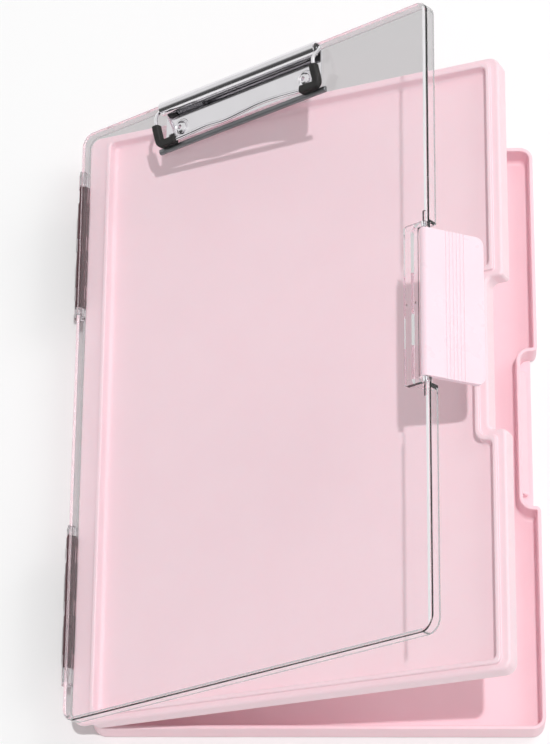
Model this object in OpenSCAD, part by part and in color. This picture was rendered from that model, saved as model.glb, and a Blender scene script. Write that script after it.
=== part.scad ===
// Storage clipboard box: a shallow base, a middle tray hinged to it, a clear lid
// hinged to the tray, a side latch, and a low wire clip on the lid.
// Millimetres. +Y points to the clip end, +X from the hinge to the latch, +Z up.
// The origin is the middle of the face that the base rests on.

/* [Case] */
// Width of the base and tray, from the hinge side to the latch side
case_w = 237; // [200:1:300]
// Length of the tray and the lid
case_l = 340; // [320:1:420]
// Distance by which each end of the base stands in under the tray's
base_in = 1; // [0:0.1:2]
// Height of the base
base_h = 15.4; // [13:0.1:40]
// Height of the tray up to the ledge that carries the lid
tray_h = 10; // [8.5:0.1:20]
// Height of the lid with its skirt
lid_h = 6.6; // [6:0.1:12]
// Distance by which the lid stands out past the case on the latch side
lid_over = 0; // [0:0.1:2]
// Wall thickness of the base and the tray
wall = 2.2; // [1.8:0.1:3]
// Thickness of the base's and the tray's floor
floor_t = 1.8; // [1.4:0.1:3]
// Thickness of the clear lid
lid_t = 2; // [1.6:0.1:2.6]
// Outside corner radius of the base
corner_r = 7; // [6:0.5:12]

/* [Hinge] */
// Distance of the tray's hinge line outside the wall of the case
hinge_out = 4.2; // [4:0.1:5]
// Height of the tray's hinge line above the base's rim
hinge_up = 2.8; // [2.6:0.1:3.4]
// Distance of the lid's hinge line outside the tray's
lid_line_out = 6; // [5.5:0.1:7]
// Height of the lid's hinge line above the tray's
lid_line_up = 5; // [4.8:0.1:5.4]
// Outside diameter of the knuckles
knuckle_d = 6; // [5.5:0.1:6.2]
// Diameter of the hinge pins
pin_d = 2; // [1.6:0.1:2.6]
// Distance of each hinge's outer end from the middle of the case
hinge_end = 148; // [130:1:155]

/* [Latch] */
// Length of the latch flap
latch_l = 80; // [60:1:84]
// Thickness of the latch flap
latch_t = 2.8; // [2.2:0.1:3.2]
// Depth of the recess in the case's side that the latch closes into
notch_d = 9.5; // [8:0.5:12]
// Length of that recess in the base
notch_l = 90; // [86:1:100]
// Number of finger grooves on the flap
grooves = 6; // [0:1:8]

/* [Clip] */
// Length of the clip's plate
plate_l = 109; // [90:1:130]
// Thickness of the clip's plate
plate_t = 1; // [0.8:0.1:1.4]
// Distance between the two rivets
rivet_gap = 87; // [70:1:95]
// Outside radius of the rolled spine
spine_r = 4; // [3.6:0.1:4.6]
// Diameter of the clamping wire
wire_d = 2; // [1.8:0.1:2.6]
// Turns of the torsion spring inside the spine
spring_turns = 12; // [6:1:16]

/* [Opening] */
// Angle of the tray over the base
tray_open = 23.5; // [0:0.5:80]
// Angle of the lid over the tray
lid_open = 15.5; // [0:0.5:90]
// Angle of the latch away from its closed place
latch_open = 25; // [0:1:104]

/* [Hidden] */
$fn = 64;

// Clearance between pieces that move past each other, and of a turning fit
gap = 0.3;
fit = 0.05;
// Overlap that fuses two shapes of one piece
bite = 0.2;

// Heights of the closed case
tray_z = base_h + gap;
ledge_z = tray_z + tray_h;
lid_z = ledge_z + gap;
lid_top = lid_z + lid_h;

// Side walls of the case, the two hinge lines, and the edges on the hinge side
side_x = case_w / 2;
half_l = case_l / 2;
base_half_l = half_l - base_in;
hinge_x = -side_x - hinge_out;
hinge_z = base_h + hinge_up;
lid_line_x = hinge_x - lid_line_out;
lid_line_z = hinge_z + lid_line_up;
knuckle_r = knuckle_d / 2;
flange_left = hinge_x - 2.5;
flange_t = 3;
lid_left = hinge_x - 2;
lid_right = side_x + lid_over;
lid_mid = (lid_left + lid_right) / 2;
lid_half = (lid_right - lid_left) / 2;

// Tray rim: the ledge outside, then the raised lip, then the recess
ledge_w = 4.6;
ledge_end_w = 3.3;
lip_w = 2.4;
lip_end_w = 2.3;
lip_h = 2;
rim_w = ledge_w + lip_w;
rim_end_w = ledge_end_w + lip_end_w;
tray_wall = 1.8;
tray_sink = 3.2;
tray_notch_d = notch_d - 0.3;
tray_notch_l = latch_l + 5;
tab_x = 65.5;
tab_l = 28;
tab_drop = 8;
tab_t = 1.8;
tab_y = base_half_l - wall - 0.4 - tab_t / 2;

// Knuckles of one hinge, from the outer end inwards, and the piece that each belongs
// to on the line between base and tray and on the line between tray and lid
knuckle_len = [8.4, 8, 21, 8, 21, 8, 5.5, 5];
tray_line = ["none", "tray", "base", "tray", "base", "tray", "base", "none"];
lid_line = ["lid", "tray", "lid", "tray", "lid", "tray", "lid", "lid"];
long_knuckle = 20;
function sum_to(list, n) = n <= 0 ? 0 : list[n - 1] + sum_to(list, n - 1);
function knuckle_y(i) = hinge_end - sum_to(knuckle_len, i) - i * gap;
hinge_len = sum_to(knuckle_len, 8) + 7 * gap;

// Latch pivot, the flap's outer face, and the clear strip beside the flap
barrel_r = 2.3;
latch_pin_d = 1.8;
pivot_x = side_x - 2.5;
pivot_z = lid_top;
flap_x = pivot_x + barrel_r - latch_t;
flap_low = 0.5;
strip_x = side_x - 14;
strip_end = pivot_x - barrel_r - gap;
strip_h = 2;
lug_t = 2.8;
notch_x = side_x - notch_d;
lid_notch_l = notch_l - 3.2;
groove_top = 10.8;
groove_step = 2;

// Clip: its middle, its spine axis, and heights above the lid
clip_x = lid_mid - 2;
spine_y = half_l - 7;
plate_y = half_l - 27;
rivet_y = half_l - 20.4;
jaw_y = half_l - 32.4;
jaw_l = 116.5;
jaw_h = 2.2;
jaw_top = gap + jaw_h;
rivet_r = 1.8;
wire_r = wire_d / 2;
bush_r = spine_r - plate_t;
bush_l = 6;
// Middle line of one arm of the wire: out of the spine, over the grip, to the front
wire_arm = [
    [54.7, -7, 4], [55.6, -7.1, 4], [56.2, -7.9, 4.5], [56.3, -9.5, 5.6], [56, -12, 7.4],
    [55.5, -15.2, 8.6], [55.4, -18.5, 7.9], [55.4, -25.5, 5.3], [54.2, -28.3, 4.7],
    [51.5, -28.6, 4.6]
];
// Its front run, from the right arm to the left one, which swings back over the plate
wire_front_run = [
    [45, -28.6, 4.6], [36, -27.6, 4.4], [26, -26.6, 4.2], [14, -26.3, 4.2], [4, -27.1, 4.2],
    [-10, -28.1, 4.2], [-22, -27.3, 4.2], [-33, -27.9, 4.4], [-45, -28.5, 4.6]
];

// ---- Plane outlines ----

// Rectangle about the origin with round corners
module round_rect(w, l, r) {
    square([w - 2 * r, l], center = true);
    square([w, l - 2 * r], center = true);
    for (sx = [-1, 1], sy = [-1, 1])
        translate([sx * (w / 2 - r), sy * (l / 2 - r)])
            circle(r);
}

// Round rectangle with a recess in its right side. The recess is cut back to
// void_x over 2 * void_half, and its mouth is rounded by mouth_r.
module notched_rect(half_w, half_len, r, void_x, void_half, void_r, mouth_r) {
    reach = 40;
    difference() {
        round_rect(2 * half_w, 2 * half_len, r);
        translate([void_x + reach / 2, 0])
            round_rect(reach, 2 * void_half, void_r);
        for (s = [0, 1])
            mirror([0, s])
                translate([half_w - mouth_r, void_half + mouth_r])
                    difference() {
                        translate([0, -mouth_r - 1])
                            square(mouth_r + 1);
                        circle(mouth_r);
                    }
    }
}

// Outline of the base's wall, moved in by a distance
module base_plan(inset) {
    notched_rect(side_x - inset, base_half_l - inset, corner_r - inset,
        notch_x - inset, notch_l / 2 + inset, 5.5 + inset, 3 - inset);
}

// Outline of the tray, moved in by one distance at the sides and one at the ends
module tray_plan(side, end, r, void_r, mouth_r) {
    notched_rect(side_x - side, half_l - end, r,
        side_x - tray_notch_d - side, tray_notch_l / 2 + end, void_r, mouth_r);
}

// Extrudes an XZ outline along Y, centred on y = 0
module along_y(len) {
    translate([0, len / 2, 0])
        rotate([90, 0, 0])
            linear_extrude(len)
                children();
}

// Extrudes a YZ outline along X, centred on x = 0
module along_x(len) {
    translate([-len / 2, 0, 0])
        rotate([90, 0, 90])
            linear_extrude(len)
                children();
}

// ---- Swept round wire ----

// Point at t on the smooth curve through four points
function blend(a, b, c, d, t) =
    0.5 * (2 * b + (c - a) * t + (2 * a - 5 * b + 4 * c - d) * t * t
        + (3 * b - a - 3 * c + d) * t * t * t);
// Smooth line through every point of a list, with n steps from one to the next
function smooth(p, n) = [
    for (i = [0 : len(p) - 2], k = [0 : n - 1])
        blend(p[max(i - 1, 0)], p[i], p[i + 1], p[min(i + 2, len(p) - 1)], k / n),
    p[len(p) - 1]
];
function unit(v) = v / norm(v);
// Direction of a line at its point i
function heading(p, i) = unit(p[min(i + 1, len(p) - 1)] - p[max(i - 1, 0)]);
// First side of each ring, carried from ring to ring so that the tube doesn't twist
function sides(p, i, v) =
    let (t = heading(p, i), s = unit(v - (v * t) * t))
        i == len(p) - 1 ? [s] : concat([s], sides(p, i + 1, s));

// Tube of radius r and n flat sides along the points p
module tube(p, r, n, first) {
    side = sides(p, 0, first);
    rings = [
        for (i = [0 : len(p) - 1])
            let (t = heading(p, i), s = side[i], u = cross(t, s))
                for (k = [0 : n - 1])
                    p[i] + r * (cos(360 * k / n) * s + sin(360 * k / n) * u)
    ];
    last = (len(p) - 1) * n;
    skin = [
        for (i = [0 : len(p) - 2], k = [0 : n - 1])
            let (a = i * n + k, b = i * n + (k + 1) % n)
                for (f = [[a, a + n, b], [b, a + n, b + n]])
                    f
    ];
    polyhedron(
        points = rings,
        faces = concat(
            skin,
            [for (k = [1 : n - 2]) [0, k, k + 1]],
            [for (k = [1 : n - 2]) [last, last + k + 1, last + k]]
        )
    );
}

// ---- Poses: every piece is drawn closed, then turned to where it stands ----

// Turns by an angle about the line along Y through x and z
module turned(angle, x, z) {
    translate([x, 0, z])
        rotate([0, -angle, 0])
            translate([-x, 0, -z])
                children();
}

module with_tray() {
    turned(tray_open, hinge_x, hinge_z)
        children();
}

module with_lid() {
    with_tray()
        turned(lid_open, lid_line_x, lid_line_z)
            children();
}

module with_latch() {
    with_lid()
        turned(latch_open, pivot_x, pivot_z)
            children();
}

// ---- Hinges ----

// The shape is drawn for the upper hinge and mirrored for the lower one
module lower_hinge() {
    mirror([0, 1, 0])
        children();
}

// The leaves are drawn about their own hinge line and set on it by these two
module on_tray_line() {
    translate([hinge_x, 0, hinge_z])
        children();
}

module on_lid_line() {
    translate([lid_line_x, 0, lid_line_z])
        children();
}

// One piece's knuckles of a line, bored, each with the web outline given as a child
module knuckles(piece, line) {
    for (i = [0 : len(knuckle_len) - 1])
        if (line[i] == piece)
            translate([0, knuckle_y(i) - knuckle_len[i] / 2, 0])
                difference() {
                    along_y(knuckle_len[i]) {
                        circle(knuckle_r);
                        children();
                    }
                    along_y(knuckle_len[i] + 2)
                        circle(pin_d / 2 + fit);
                }
}

// Strip from the outer end of knuckle i to the inner end of knuckle j
module hinge_strip(i, j) {
    len = knuckle_y(i) - knuckle_y(j) + knuckle_len[j];
    translate([0, knuckle_y(i) - len / 2, 0])
        along_y(len)
            children();
}

module base_hinge() {
    color([0.45, 0.31, 0.35])
        on_tray_line() {
            knuckles("base", tray_line)
                polygon([
                    [hinge_out, -hinge_up], [hinge_out, -7], [hinge_out - 1.5, -7],
                    [-knuckle_r * 0.9, -knuckle_r * 0.43], [0, 0], [2.2, -hinge_up]
                ]);
            hinge_strip(2, 6)
                translate([hinge_out - 1.5, -13])
                    square([1.5, 6.5]);
        }
}

// The pins of both lines are held in the tray's knuckles
module hinge_pin() {
    color([0.72, 0.72, 0.74]) {
        on_tray_line()
            hinge_strip(1, 6)
                circle(pin_d / 2);
        on_lid_line()
            hinge_strip(0, 7)
                circle(pin_d / 2);
    }
}

// The tray's knuckles on both lines: below its flange and beside it
module tray_hinge() {
    under = ledge_z - flange_t - hinge_z - 0.1;
    side = flange_left - lid_line_x;
    top = ledge_z - lid_line_z;
    color([0.86, 0.70, 0.74]) {
        on_tray_line() {
            knuckles("tray", tray_line)
                polygon([
                    [0, -knuckle_r], [1.5, -2.6], [hinge_out, -1.6],
                    [hinge_out, under], [hinge_out - 0.9, under], [0, knuckle_r]
                ]);
            hinge_strip(1, 5)
                translate([hinge_out - 0.9, 1])
                    square([0.9, under - 1]);
        }
        on_lid_line()
            knuckles("tray", lid_line)
                polygon([
                    [0, -knuckle_r], [side, top - flange_t], [side, top], [0, knuckle_r]
                ]);
    }
}

// Leaf on the outside of the lid's skirt
module lid_hinge() {
    side = lid_left - lid_line_x;
    top = lid_top - 1 - lid_line_z;
    color([0.45, 0.31, 0.35])
        on_lid_line()
            difference() {
                union() {
                    knuckles("lid", lid_line)
                        polygon([
                            [-knuckle_r, 0], [-1.4, 4.8], [side, top],
                            [side, knuckle_r + 0.1], [1.2, knuckle_r], [0, 0]
                        ]);
                    hinge_strip(0, 7)
                        translate([side - 1.2, knuckle_r + 0.1])
                            square([1.2, top - knuckle_r - 0.1]);
                }
                // Small moulding hole on top of each long knuckle
                for (i = [0 : len(knuckle_len) - 1])
                    if (knuckle_len[i] > long_knuckle)
                        translate([0.2, knuckle_y(i) - knuckle_len[i] / 2, 4.2])
                            cylinder(d = 1.3, h = knuckle_d);
            }
}

// ---- Base ----

module base_case() {
    color([0.98, 0.80, 0.83]) {
        difference() {
            union() {
                linear_extrude(floor_t)
                    notched_rect(side_x, base_half_l, corner_r,
                        flap_x - gap, notch_l / 2, 1.2, 0.5);
                linear_extrude(base_h)
                    base_plan(0);
            }
            translate([0, 0, floor_t])
                linear_extrude(base_h)
                    base_plan(wall);
        }
        // Catch that the latch's hooks close under
        along_y(latch_l - 8)
            polygon([
                [notch_x - bite, 6.2], [notch_x + 3.5, 6.2],
                [notch_x + 3.5, 7.2], [notch_x - bite, 10.6]
            ]);
    }
}

// ---- Tray ----

module middle_tray() {
    color([0.97, 0.83, 0.87]) {
        translate([0, 0, tray_z])
            difference() {
                union() {
                    linear_extrude(tray_h)
                        tray_plan(0, 0, 6, 4, 2);
                    // Flange that reaches out over the hinge
                    translate([(flange_left - side_x) / 2 + rim_w, 0, tray_h - flange_t])
                        linear_extrude(flange_t)
                            round_rect(2 * rim_w - side_x - flange_left, 2 * half_l, 5);
                    linear_extrude(tray_h + lip_h)
                        tray_plan(ledge_w, ledge_end_w, 3.5, 5, 1.6);
                }
                // Recess for the papers, and the sunk underside of its floor
                translate([0, 0, tray_sink + floor_t])
                    linear_extrude(tray_h + lip_h)
                        tray_plan(rim_w, rim_end_w, 3, 6, 3);
                translate([0, 0, -1])
                    linear_extrude(tray_sink + 1)
                        tray_plan(tray_wall, tray_wall, 4.2, 4.6, 1);
                // Hollow under the rim, open below
                translate([0, 0, -1])
                    linear_extrude(tray_h - 1)
                        difference() {
                            tray_plan(tray_wall, tray_wall, 4.2, 4.6, 1);
                            tray_plan(rim_w - tray_wall, rim_end_w - tray_wall, 4.2, 5, 2);
                        }
            }
        // Tabs that drop inside the base's end walls and centre the tray
        for (s = [-1, 1])
            translate([tab_x - tab_l / 2, s * tab_y - tab_t / 2, tray_z - tab_drop])
                cube([tab_l, tab_t, tab_drop + tray_h - 2 + bite]);
        // Ribs that stiffen the hollow rim along the latch side
        for (s = [-1, 1], y = [60 : 20 : half_l - 10])
            translate([side_x - rim_w + tray_wall - bite, s * y - 0.6, tray_z + 1])
                cube([rim_w - 2 * tray_wall + 2 * bite, 1.2, tray_h - 3 + bite]);
    }
}

// ---- Lid ----

module lid_plan(inset) {
    translate([lid_mid, 0])
        round_rect(2 * (lid_half - inset), 2 * (half_l - inset), corner_r + 0.5 - inset);
}

// The space that the latch's recess takes out of the lid, grown by a distance
module lid_recess(grow) {
    reach = 40;
    translate([side_x - tray_notch_d - grow + reach / 2, 0])
        round_rect(reach, lid_notch_l + 2 * grow, 5 + grow);
}

// Rounds the top edge of the lid by e: a straight run and one corner for each side
module lid_edge_cut(e) {
    r = corner_r + 0.5;
    for (sx = [-1, 1])
        translate([lid_mid + sx * lid_half, 0, lid_top])
            along_y(2 * (half_l - r))
                scale([sx, 1])
                    edge_corner(e);
    for (sy = [-1, 1])
        translate([lid_mid, sy * half_l, lid_top])
            along_x(2 * (lid_half - r))
                scale([sy, 1])
                    edge_corner(e);
    for (sx = [-1, 1], sy = [-1, 1])
        translate([lid_mid + sx * (lid_half - r), sy * (half_l - r), lid_top])
            rotate([0, 0, sx > 0 ? (sy > 0 ? 0 : -90) : (sy > 0 ? 90 : 180)])
                rotate_extrude(angle = 90)
                    translate([r, 0])
                        edge_corner(e);
}

// Outline that a rounding of radius e takes off the corner at the origin
module edge_corner(e) {
    difference() {
        translate([-e, -e])
            square(e + 0.6);
        translate([-e, -e])
            circle(e);
    }
}

module clear_lid() {
    color([0.88, 0.89, 0.90, 0.45])
        difference() {
            union() {
                difference() {
                    translate([0, 0, lid_z])
                        linear_extrude(lid_h)
                            lid_plan(0);
                    lid_edge_cut(1.6);
                }
                // Raised strip along the latch
                translate([0, 0, lid_top - bite])
                    linear_extrude(strip_h + bite)
                        translate([(strip_x + strip_end) / 2, 0])
                            round_rect(strip_end - strip_x, latch_l + 2 * lug_t + 0.8, 1.2);
                // Round lugs that carry the latch's pin
                for (s = [-1, 1])
                    translate([0, s * (latch_l / 2 + 0.4 + lug_t / 2), 0])
                        along_y(lug_t) {
                            translate([pivot_x, pivot_z])
                                circle(barrel_r);
                            translate([strip_x + 2, pivot_z - 1])
                                square([pivot_x - strip_x - 2, barrel_r + 1]);
                        }
            }
            // Inside of the skirt, which steps in round the latch
            translate([0, 0, lid_z - 1])
                linear_extrude(lid_h - lid_t + 1)
                    difference() {
                        lid_plan(lid_t);
                        lid_recess(lid_t);
                    }
            translate([0, 0, lid_z - 1])
                linear_extrude(lid_h - lid_t + 1)
                    lid_recess(0);
            // Slot that the flap's barrel turns in
            translate([strip_end, -latch_l / 2 - 0.4, lid_top - lid_t - 1])
                cube([20, latch_l + 0.8, lid_t + strip_h + 2]);
            // Bore for the latch pin
            translate([pivot_x, 0, pivot_z])
                along_y(latch_l + 20)
                    circle(latch_pin_d / 2 + fit);
            // Holes for the rivets
            for (s = [-1, 1])
                translate([clip_x + s * rivet_gap / 2, rivet_y, lid_top - lid_t - 1])
                    cylinder(r = rivet_r + fit, h = lid_t + 2);
            // Two small dimples at the middle of the strip
            for (x = [strip_x + 1.6, strip_end - 1.6])
                translate([x, 0, lid_top + strip_h - 0.6])
                    cylinder(d = 1.2, h = 1);
        }
}

// ---- Latch ----

module latch_flap() {
    fall = pivot_z - flap_low;
    color([0.99, 0.90, 0.94])
        difference() {
            union() {
                translate([pivot_x, 0, pivot_z])
                    along_y(latch_l)
                        circle(barrel_r);
                translate([flap_x + latch_t / 2, 0, flap_low])
                    along_x(latch_t) {
                        translate([-latch_l / 2, 4.5])
                            square([latch_l, fall - 4.5]);
                        translate([-latch_l / 2 + 4.5, 0])
                            square([latch_l - 9, fall]);
                        for (s = [-1, 1])
                            translate([s * (latch_l / 2 - 4.5), 4.5])
                                circle(4.5);
                    }
                // Hooks that close under the base's catch
                for (s = [-1, 1])
                    translate([0, s * latch_l / 4, 0])
                        along_y(22)
                            polygon([
                                [flap_x + bite, 2.4], [notch_x + 2.8, 3.2], [notch_x + 2.3, 3.7],
                                [notch_x + 2.3, 5.4], [notch_x + 2.8, 5.8], [flap_x + bite, 6.4]
                            ]);
            }
            translate([pivot_x, 0, pivot_z])
                along_y(latch_l + 2)
                    circle(latch_pin_d / 2 + fit);
            // Finger grooves
            if (grooves > 0)
                for (i = [0 : grooves - 1])
                    translate([flap_x + latch_t - 0.35, -latch_l / 2 - 1,
                            lid_top - groove_top - groove_step * i])
                        cube([1, latch_l + 2, 0.6]);
        }
}

module latch_pin() {
    color([0.72, 0.72, 0.74])
        translate([pivot_x, 0, pivot_z])
            along_y(latch_l + 2 * lug_t)
                circle(latch_pin_d / 2);
}

// ---- Clip ----

// Flat plate whose back edge rolls up and forwards into an open tube
module clip_plate() {
    axis_z = spine_r;
    color([0.78, 0.78, 0.80])
        translate([clip_x, 0, lid_top])
            difference() {
                union() {
                    translate([-plate_l / 2, plate_y, 0])
                        cube([plate_l, spine_y - plate_y, plate_t]);
                    along_x(plate_l)
                        translate([spine_y, axis_z])
                            difference() {
                                circle(spine_r);
                                circle(spine_r - plate_t);
                                polygon([[0, 0], [-9, -1.2], [-9, -9], [0, -9]]);
                            }
                }
                for (s = [-1, 1])
                    translate([s * rivet_gap / 2, rivet_y, -1])
                        cylinder(r = rivet_r + fit, h = plate_t + 2);
            }
}

// Tubular rivets with domed heads, clinched under the lid's washers
module clip_rivets() {
    head_r = 3.7;
    under = -lid_t - 0.7;
    color([0.80, 0.80, 0.82])
        for (s = [-1, 1])
            translate([clip_x + s * rivet_gap / 2, rivet_y, lid_top])
                difference() {
                    union() {
                        translate([0, 0, under - 0.6])
                            cylinder(r = rivet_r, h = plate_t - under + 0.7);
                        // Domed head
                        translate([0, 0, plate_t])
                            rotate_extrude()
                                intersection() {
                                    translate([0, -3.2])
                                        circle(4.9);
                                    square([head_r, 3]);
                                }
                        translate([0, 0, under - 0.6])
                            cylinder(r = 2.7, h = 0.6);
                    }
                    translate([0, 0, -10])
                        cylinder(r = 1.1, h = 20);
                }
}

module clip_washers() {
    color([0.72, 0.72, 0.74])
        for (s = [-1, 1])
            translate([clip_x + s * rivet_gap / 2, rivet_y, lid_top - lid_t - 0.7])
                difference() {
                    cylinder(r = 4, h = 0.7);
                    translate([0, 0, -1])
                        cylinder(r = rivet_r + fit, h = 3);
                }
}

// Bushes at the ends of the spine, in which the wire turns
module clip_bushes() {
    color([0.20, 0.20, 0.21])
        for (s = [-1, 1])
            translate([clip_x + s * (plate_l - bush_l) / 2, spine_y, lid_top + spine_r])
                along_x(bush_l)
                    difference() {
                        circle(bush_r);
                        circle(wire_r + fit);
                    }
}

// Torsion spring round the wire, held against the left bush
module clip_spring() {
    pitch = 1.5;
    steps = 8;
    coil_r = bush_r - 0.5;
    start = clip_x - plate_l / 2 + bush_l + 0.45;
    coil = [
        for (i = [0 : spring_turns * steps])
            [start + pitch * i / steps,
                spine_y + coil_r * cos(360 * i / steps),
                lid_top + spine_r + coil_r * sin(360 * i / steps)]
    ];
    echo(least_gap_between_turns = pitch - 0.9);
    color([0.72, 0.72, 0.74])
        tube(coil, 0.45, 6, [1, 0, 0]);
}

// Middle line of the sprung wire's arms and front run, from right to left
function wire_line() =
    let (last = len(wire_arm) - 1,
        left_arm = [for (i = [last : -1 : 0]) [-wire_arm[i][0], wire_arm[i][1], wire_arm[i][2]]])
        [for (p = smooth(concat(wire_arm, wire_front_run, left_arm), 4))
            [clip_x + p[0], half_l + p[1], lid_top + p[2]]];

module wire_front(r) {
    tube(wire_line(), r, 10, [0, 0, 1]);
}

module clip_wire() {
    color([0.78, 0.78, 0.80]) {
        wire_front(wire_r);
        translate([clip_x, spine_y, lid_top + spine_r])
            along_x(plate_l + 1)
                circle(wire_r);
    }
}

// Lip bar that the wire presses down on the paper
module clip_jaw() {
    color([0.45, 0.46, 0.47])
        translate([clip_x, jaw_y, lid_top + gap])
            along_x(jaw_l)
                polygon([[0, 0], [3, 0], [3.2, 1.4], [2.6, jaw_h], [0.8, jaw_h], [0, 1.4]]);
}

// Soft corner grip moulded round the wire: an arm along the side and one along the front
module clip_grip(s) {
    color([0.07, 0.07, 0.07])
        difference() {
            translate([clip_x, half_l, lid_top])
                scale([s, 1, 1]) {
                    hull()
                        for (p = [[55.4, -28.5, jaw_top, 4.2], [55.4, -19.7, 5.8, 3.4]])
                            translate([p[0], p[1], p[2]])
                                grip_block(4.2, p[3], 4.2);
                    hull()
                        for (p = [[54.8, -28.6, jaw_top, 4.2], [45.6, -28.4, jaw_top, 4]])
                            translate([p[0], p[1], p[2]])
                                grip_block(4, 4.2, p[3]);
                }
            wire_front(wire_r + 0.02);
        }
}

// Small block with round upright edges that the grips are hulled from
module grip_block(w, l, h) {
    for (sx = [-1, 1], sy = [-1, 1])
        translate([sx * (w / 2 - 1), sy * (l / 2 - 1), 0])
            cylinder(r = 1, h = h, $fn = 24);
}

base_case();
base_hinge();  // base_hinge_upper
lower_hinge() base_hinge();  // base_hinge_lower
with_tray() hinge_pin();  // hinge_pin_upper
with_tray() lower_hinge() hinge_pin();  // hinge_pin_lower
with_tray() middle_tray();
with_tray() tray_hinge();  // tray_hinge_upper
with_tray() lower_hinge() tray_hinge();  // tray_hinge_lower
with_lid() clear_lid();
with_lid() lid_hinge();  // lid_hinge_upper
with_lid() lower_hinge() lid_hinge();  // lid_hinge_lower
with_latch() latch_flap();
with_lid() latch_pin();
with_lid() clip_plate();
with_lid() clip_rivets();
with_lid() clip_washers();
with_lid() clip_bushes();
with_lid() clip_spring();
with_lid() clip_wire();
with_lid() clip_jaw();
with_lid() clip_grip(-1);  // clip_grip_left
with_lid() clip_grip(1);  // clip_grip_right
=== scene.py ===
from math import cos, pi, radians, sin

import bmesh
import bpy
import numpy as np
from mathutils import Matrix, Vector


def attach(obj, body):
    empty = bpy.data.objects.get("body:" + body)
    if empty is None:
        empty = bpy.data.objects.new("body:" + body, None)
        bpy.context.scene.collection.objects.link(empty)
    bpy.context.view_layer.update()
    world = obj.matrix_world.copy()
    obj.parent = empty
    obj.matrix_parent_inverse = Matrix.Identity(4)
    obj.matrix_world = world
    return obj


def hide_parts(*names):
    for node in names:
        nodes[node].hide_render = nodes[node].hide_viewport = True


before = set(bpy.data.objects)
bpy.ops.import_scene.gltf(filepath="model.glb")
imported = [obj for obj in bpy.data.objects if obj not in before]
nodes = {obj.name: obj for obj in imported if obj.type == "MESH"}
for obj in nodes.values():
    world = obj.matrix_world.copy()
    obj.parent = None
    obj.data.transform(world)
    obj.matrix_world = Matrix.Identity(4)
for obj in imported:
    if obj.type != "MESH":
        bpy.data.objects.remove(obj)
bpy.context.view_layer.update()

mm = 0.001


# Fitted to the photograph: place and aim in mm in the part's frame, roll in degrees, and the
# lens in mm for a sensor that is 36 mm wide. Nothing is cut off nearer than clipEnd, in metres
camera = {"place": (23.4, -657.1, 1647.5), "aim": (-24.5, 33.4, 14), "roll": 0.54, "lens": 157.4,
          "sensor": 36, "clipEnd": 20}


# Camera axes from place and aim: back points away from the aim, right is square to back and
# the part's +Y turned flat, and both right and up are then rolled about back
def makeCamera():
    back = (Vector(camera["place"]) - Vector(camera["aim"])).normalized()
    right = Vector((0, 1, 0)).cross(back).normalized()
    up = back.cross(right)
    roll = radians(camera["roll"])
    rolledRight = right * cos(roll) + up * sin(roll)
    rolledUp = up * cos(roll) - right * sin(roll)
    data = bpy.data.cameras.new("camera")
    data.lens = camera["lens"]
    data.sensor_width = camera["sensor"]
    data.clip_end = camera["clipEnd"]
    obj = bpy.data.objects.new("camera", data)
    turn = Matrix((rolledRight, rolledUp, back)).transposed().to_4x4()
    obj.matrix_world = Matrix.Translation(Vector(camera["place"]) * mm) @ turn
    bpy.context.collection.objects.link(obj)
    bpy.context.scene.camera = obj


makeCamera()

# Levels fitted to the photograph: key, fill and sky together give about 1.2 on an open level
# white face. Places and sizes are in metres, and the key's angle in degrees
light = {
    "keyTo": (0.114, -0.10, 1.0), "keyLevel": 0.46, "keyAngle": 1.3,
    "fillAt": (1.05, 0.5, 1.1), "fillSize": 0.75, "fillWatts": 4.6,
    "sky": 0.61, "floorWhite": 0.9, "floorLift": 0.03, "floorHalf": 3.0, "floorDrop": 0.0002,
    # What clear plastic shows of sky and floor, darker than they are as painted shade, and the dark patch
    # of sky that reflections show: its middle, its level, and the cosines to its middle between which it
    # comes in
    "throughPlastic": 0.55, "patchTo": (-0.77, -0.63, 0.08), "patchLevel": 0.1,
    "patchWide": (0.62, 0.9),
}


# A sun of strength E gives a white face square to it the radiance E / pi, so that its strength
# is the level times pi. Both lamps point at the origin
def makeLights():
    key = bpy.data.lights.new("keyLight", "SUN")
    key.energy = light["keyLevel"] * pi
    key.angle = radians(light["keyAngle"])
    keyObj = bpy.data.objects.new("keyLight", key)
    keyObj.rotation_euler = Vector(light["keyTo"]).to_track_quat("Z", "Y").to_euler()
    fill = bpy.data.lights.new("fillLight", "AREA")
    fill.size = light["fillSize"]
    fill.energy = light["fillWatts"]
    fillObj = bpy.data.objects.new("fillLight", fill)
    fillObj.location = light["fillAt"]
    fillObj.rotation_euler = Vector(light["fillAt"]).to_track_quat("Z", "Y").to_euler()
    for obj in (keyObj, fillObj):
        # Found only by shadow rays, so that light through clear plastic isn't counted twice
        obj.data.cycles.use_multiple_importance_sampling = False
        bpy.context.collection.objects.link(obj)


# One math node, fed by links or plain numbers
def mathNode(tree, operation, first, second, third=None, clamp=False):
    node = tree.nodes.new("ShaderNodeMath")
    node.operation = operation
    node.use_clamp = clamp
    for place, value in enumerate((first, second, third)):
        if value is None:
            continue
        if isinstance(value, (int, float)):
            node.inputs[place].default_value = value
        else:
            tree.links.new(value, node.inputs[place])
    return node.outputs[0]


# Masks of what looks at a surface, each 1 or 0: camera, reflections, and what passes through
# plastic, which counts as a reflection too in Light Path and is taken out of that one. The last
# two hold only for rays that met nothing matt before
def lookingRays(tree):
    path = tree.nodes.new("ShaderNodeLightPath")
    fresh = mathNode(tree, "LESS_THAN", path.outputs["Diffuse Depth"], 0.5)
    through = mathNode(tree, "MULTIPLY", path.outputs["Is Transmission Ray"], fresh)
    bent = mathNode(tree, "MULTIPLY", path.outputs["Is Glossy Ray"], fresh)
    mirrored = mathNode(tree, "SUBTRACT", bent, through, clamp=True)
    return path.outputs["Is Camera Ray"], mirrored, through


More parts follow.
